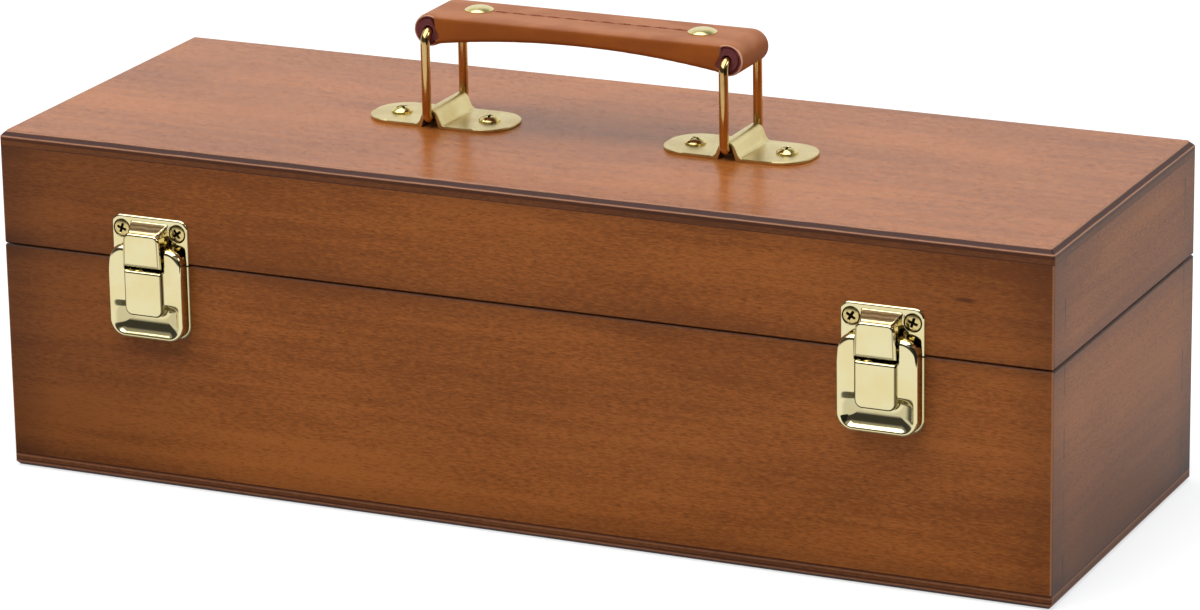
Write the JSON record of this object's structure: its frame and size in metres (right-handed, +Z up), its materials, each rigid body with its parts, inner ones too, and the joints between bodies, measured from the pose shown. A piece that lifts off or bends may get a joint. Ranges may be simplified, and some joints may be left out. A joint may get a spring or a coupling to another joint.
{
  "type": "wooden storage box",
  "caption": "Long rectangular wooden art storage box with a hinged lid, brass lever latches and a leather carrying handle on wire loops.",
  "frame": {"origin": "middle of the bottom panel's underside, on the surface that the box stands on", "axes": "+X along the box's length, -Y out of the latch side, +Z up"},
  "size_m": [0.4, 0.1599, 0.1693],
  "materials": {
    "wall_wood": "satin",
    "panel_plywood": "satin",
    "latch_brass": "polished",
    "handle_brass": "satin",
    "wire_brass": "polished",
    "hinge_brass": "satin",
    "screw_brass": "satin",
    "grip_leather": "smooth",
    "strap_leather": "rough",
    "nut_steel": "plain"
  },
  "bodies": {
    "base": {"base_back_panel": "wall_wood", "base_bottom_panel": "panel_plywood", "base_front_panel": "wall_wood", "base_left_end": "wall_wood", "base_right_end": "wall_wood", "hinge_base_screws": "screw_brass", "hinge_left_base_leaf": "hinge_brass", "hinge_left_pin": "hinge_brass", "hinge_right_base_leaf": "hinge_brass", "hinge_right_pin": "hinge_brass", "latch_base_screws": "screw_brass", "latch_left_base_plate": "latch_brass", "latch_right_base_plate": "latch_brass"},
    "lid": {"handle_left_plate": "handle_brass", "handle_nuts": "nut_steel", "handle_right_plate": "handle_brass", "handle_screws": "screw_brass", "hinge_left_lid_leaf": "hinge_brass", "hinge_lid_screws": "screw_brass", "hinge_right_lid_leaf": "hinge_brass", "latch_left_strike_plate": "latch_brass", "latch_right_strike_plate": "latch_brass", "latch_strike_screws": "screw_brass", "lid_back_panel": "wall_wood", "lid_front_panel": "wall_wood", "lid_left_end": "wall_wood", "lid_right_end": "wall_wood", "lid_top_panel": "panel_plywood"},
    "left_loop": {"handle_left_loop": "wire_brass"},
    "right_loop": {"handle_right_loop": "wire_brass"},
    "grip": {"handle_core": "strap_leather", "handle_leather": "grip_leather", "handle_rivets": "latch_brass"},
    "left_lever": {"latch_left_claw_pins": "latch_brass", "latch_left_lever": "latch_brass", "latch_left_lever_pins": "latch_brass"},
    "left_claw": {"latch_left_claw": "latch_brass"},
    "right_lever": {"latch_right_claw_pins": "latch_brass", "latch_right_lever": "latch_brass", "latch_right_lever_pins": "latch_brass"},
    "right_claw": {"latch_right_claw": "latch_brass"}
  },
  "joints": [
    {"name": "lid_hinge", "type": "hinge", "parent": "base", "child": "lid", "pos_m": [0, 0.07435, 0.084], "axis": [-1, 0, 0], "range_deg": [0, 110]},
    {"name": "handle_swing", "type": "hinge", "parent": "lid", "child": "left_loop", "pos_m": [-0.0575, 0, 0.1297], "axis": [0, 1, 0], "range_deg": [-75, 75]},
    {"name": "right_loop_swing", "type": "hinge", "parent": "lid", "child": "right_loop", "pos_m": [0.0575, 0, 0.1297], "axis": [0, 1, 0], "range_deg": [-75, 75]},
    {"name": "grip_swing", "type": "hinge", "parent": "left_loop", "child": "grip", "pos_m": [-0.0575, 0, 0.1617], "axis": [0, 1, 0], "range_deg": [-75, 75]},
    {"name": "left_lever_lift", "type": "hinge", "parent": "base", "child": "left_lever", "pos_m": [-0.1395, -0.0757, 0.0883], "axis": [-1, 0, 0], "range_deg": [0, 95]},
    {"name": "left_claw_swing", "type": "hinge", "parent": "left_lever", "child": "left_claw", "pos_m": [-0.1395, -0.0766, 0.0862], "axis": [-1, 0, 0], "range_deg": [-95, 0]},
    {"name": "right_lever_lift", "type": "hinge", "parent": "base", "child": "right_lever", "pos_m": [0.1395, -0.0757, 0.0883], "axis": [-1, 0, 0], "range_deg": [0, 95]},
    {"name": "right_claw_swing", "type": "hinge", "parent": "right_lever", "child": "right_claw", "pos_m": [0.1395, -0.0766, 0.0862], "axis": [-1, 0, 0], "range_deg": [-95, 0]}
  ],
  "couplings": [
    {"joint": "right_loop_swing", "follows": "handle_swing", "ratio": 1},
    {"joint": "grip_swing", "follows": "handle_swing", "ratio": -1},
    {"joint": "left_claw_swing", "follows": "left_lever_lift", "ratio": -1},
    {"joint": "right_claw_swing", "follows": "right_lever_lift", "ratio": -1}
  ]
}
